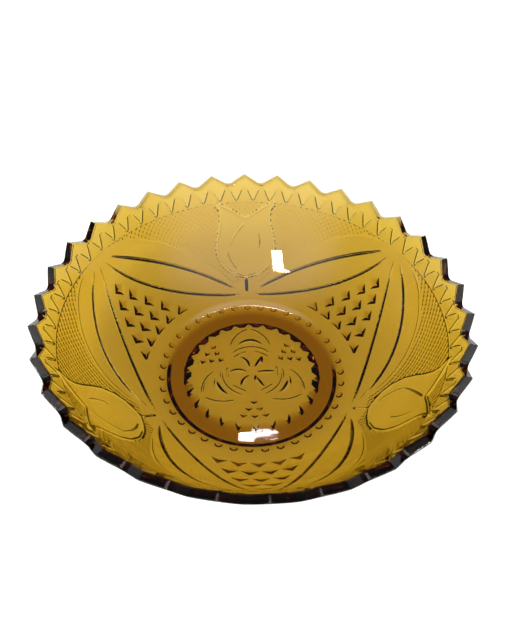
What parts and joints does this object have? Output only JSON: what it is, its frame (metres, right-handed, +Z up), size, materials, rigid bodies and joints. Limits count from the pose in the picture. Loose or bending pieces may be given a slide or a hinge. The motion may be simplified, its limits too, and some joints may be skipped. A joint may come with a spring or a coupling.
{
  "type": "pressed glass candy dish",
  "caption": "Open round dish of pressed amber glass with a saw-tooth rim, a foot ring and a star and tulip pattern moulded on the outside.",
  "frame": {"origin": "on the bowl's axis, in the plane that the foot ring rests on", "axes": "+Z up along the bowl's axis; +Y through the middle of a tulip panel and the tip of a rim tooth; +X to the right"},
  "size_m": [0.1998, 0.1995, 0.0612],
  "materials": {
    "amber_glass": "gloss"
  },
  "bodies": {
    "root": {"bowl": "amber_glass"}
  },
  "joints": []
}
